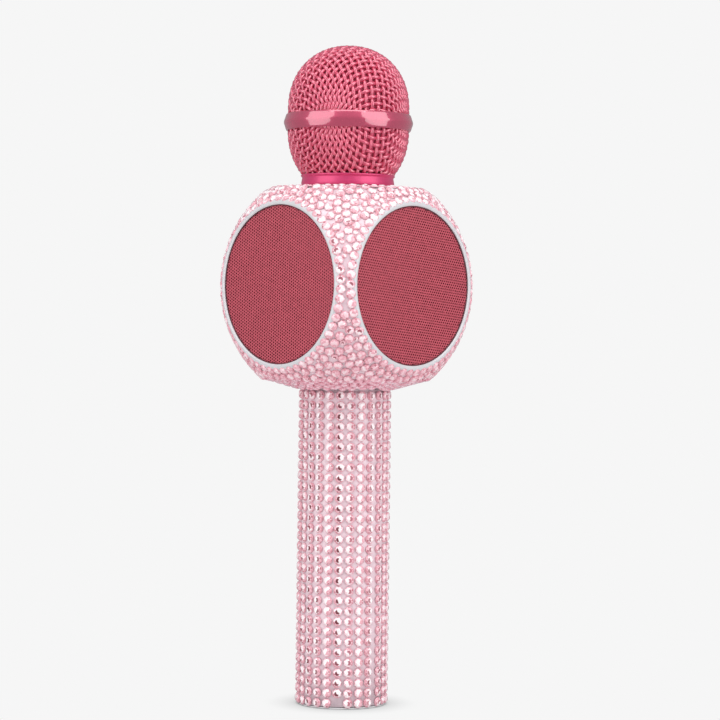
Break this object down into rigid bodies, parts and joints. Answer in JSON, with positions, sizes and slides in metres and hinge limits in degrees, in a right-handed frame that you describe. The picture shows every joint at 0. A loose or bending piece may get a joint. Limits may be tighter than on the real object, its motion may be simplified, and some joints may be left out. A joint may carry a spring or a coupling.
{
  "type": "karaoke microphone",
  "caption": "Hand-held karaoke microphone with a built-in ball speaker, crystal-covered ball and handle, and a woven-wire head.",
  "frame": {"origin": "centre of the end cap underside, where the microphone stands", "axes": "+Z along the microphone towards its head; -Y is the front, the ridge between the two driver grilles; the control panel is on +Y"},
  "size_m": [0.0992, 0.0992, 0.2587],
  "materials": {
    "crystal_pink": "faceted pale pink crystals",
    "crystal_rose": "faceted deeper pink crystals",
    "metal_magenta": "glossy metallic pink",
    "mesh_magenta": "woven wire, metallic pink",
    "grille_crimson": "fine perforated sheet, dull metallic crimson",
    "bezel_white": "glossy white",
    "shell_white": "satin white",
    "foam_pink": "open-cell foam",
    "frame_black": "matt black",
    "cone_grey": "pressed paper",
    "rubber_black": "matt black rubber",
    "steel": "plain steel",
    "board_green": "solder mask green",
    "cell_blue": "shrink sleeve",
    "brass": "plated contact",
    "lens_clear": "clear lens"
  },
  "bodies": {
    "body": {"amplifier_board": "board_green", "aux_jack": "brass", "ball_crystals": "crystal_pink", "base_cover": "shell_white", "base_crystals": "crystal_rose", "battery_cell": "cell_blue", "battery_tray": "frame_black", "bezel_driver_left": "bezel_white", "bezel_driver_right": "bezel_white", "bezel_passive_left": "bezel_white", "bezel_passive_right": "bezel_white", "capsule_cradle": "frame_black", "capsule_ring": "rubber_black", "card_slot": "steel", "charging_port": "steel", "contact_negative": "brass", "contact_positive": "brass", "control_board": "board_green", "control_panel": "bezel_white", "driver_frame_left": "frame_black", "driver_frame_right": "frame_black", "driver_magnet_left": "steel", "driver_magnet_right": "steel", "end_cap": "bezel_white", "end_cap_screw_left": "steel", "end_cap_screw_right": "steel", "grille_driver_left": "grille_crimson", "grille_driver_right": "grille_crimson", "grille_passive_left": "grille_crimson", "grille_passive_right": "grille_crimson", "handle_crystals": "crystal_pink", "handle_tube": "shell_white", "housing_shell": "shell_white", "led_lens": "lens_clear", "main_lead": "rubber_black", "mic_capsule": "steel", "mic_lead": "rubber_black", "neck_socket": "shell_white", "passive_frame_left": "frame_black", "passive_frame_right": "frame_black", "slider_pot_bank": "steel", "switch_strip": "rubber_black"},
    "neck_washer": {"neck_washer": "rubber_black"},
    "head": {"head_dome_mesh": "mesh_magenta", "head_basket_mesh": "mesh_magenta", "head_band": "metal_magenta", "head_collar": "metal_magenta", "pop_foam": "foam_pink"},
    "power_button": {"power_button": "shell_white"},
    "previous_button": {"previous_button": "shell_white"},
    "play_button": {"play_button": "shell_white"},
    "next_button": {"next_button": "shell_white"},
    "mode_button": {"mode_button": "shell_white"},
    "mic_volume_slider": {"mic_volume_slider": "shell_white"},
    "echo_slider": {"echo_slider": "shell_white"},
    "music_volume_slider": {"music_volume_slider": "shell_white"},
    "driver_cone_left": {"driver_cone_left": "cone_grey"},
    "driver_cone_right": {"driver_cone_right": "cone_grey"},
    "passive_diaphragm_right": {"passive_diaphragm_right": "rubber_black"},
    "passive_diaphragm_left": {"passive_diaphragm_left": "rubber_black"}
  },
  "joints": [
    {"name": "head_turn", "type": "hinge", "parent": "body", "child": "neck_washer", "pos_m": [0, 0, 0.2033], "axis": [0, 0, 1], "range_deg": [0, 1080]},
    {"name": "head_rise", "type": "slide", "parent": "neck_washer", "child": "head", "axis": [0, 0, 1], "range_m": [0, 0.00451]},
    {"name": "power_button_press", "type": "slide", "parent": "body", "child": "power_button", "axis": [0, -1, 0], "range_m": [0, 0.0004], "stiffness_N_per_m": 900},
    {"name": "previous_button_press", "type": "slide", "parent": "body", "child": "previous_button", "axis": [0, -1, 0], "range_m": [0, 0.0004], "stiffness_N_per_m": 900},
    {"name": "play_button_press", "type": "slide", "parent": "body", "child": "play_button", "axis": [0, -1, 0], "range_m": [0, 0.0004], "stiffness_N_per_m": 900},
    {"name": "next_button_press", "type": "slide", "parent": "body", "child": "next_button", "axis": [0, -1, 0], "range_m": [0, 0.0004], "stiffness_N_per_m": 900},
    {"name": "mode_button_press", "type": "slide", "parent": "body", "child": "mode_button", "axis": [0, -1, 0], "range_m": [0, 0.0004], "stiffness_N_per_m": 900},
    {"name": "mic_volume_slider_travel", "type": "slide", "parent": "body", "child": "mic_volume_slider", "axis": [0, 0, 1], "range_m": [-0.0065, 0.0065]},
    {"name": "echo_slider_travel", "type": "slide", "parent": "body", "child": "echo_slider", "axis": [0, 0, 1], "range_m": [-0.0065, 0.0065]},
    {"name": "music_volume_slider_travel", "type": "slide", "parent": "body", "child": "music_volume_slider", "axis": [0, 0, 1], "range_m": [-0.0065, 0.0065]},
    {"name": "driver_cone_left_stroke", "type": "slide", "parent": "body", "child": "driver_cone_left", "axis": [-0.7071, -0.7071, 0], "range_m": [-0.0012, 0.0012], "stiffness_N_per_m": 1500},
    {"name": "driver_cone_right_stroke", "type": "slide", "parent": "body", "child": "driver_cone_right", "axis": [0.7071, -0.7071, 0], "range_m": [-0.0012, 0.0012], "stiffness_N_per_m": 1500},
    {"name": "passive_diaphragm_right_stroke", "type": "slide", "parent": "body", "child": "passive_diaphragm_right", "axis": [0.7071, 0.7071, 0], "range_m": [-0.0014, 0.0014], "stiffness_N_per_m": 1500},
    {"name": "passive_diaphragm_left_stroke", "type": "slide", "parent": "body", "child": "passive_diaphragm_left", "axis": [-0.7071, 0.7071, 0], "range_m": [-0.0014, 0.0014], "stiffness_N_per_m": 1500}
  ],
  "couplings": [
    {"joint": "head_rise", "follows": "head_turn", "m_per_rad": 0.00023873}
  ]
}
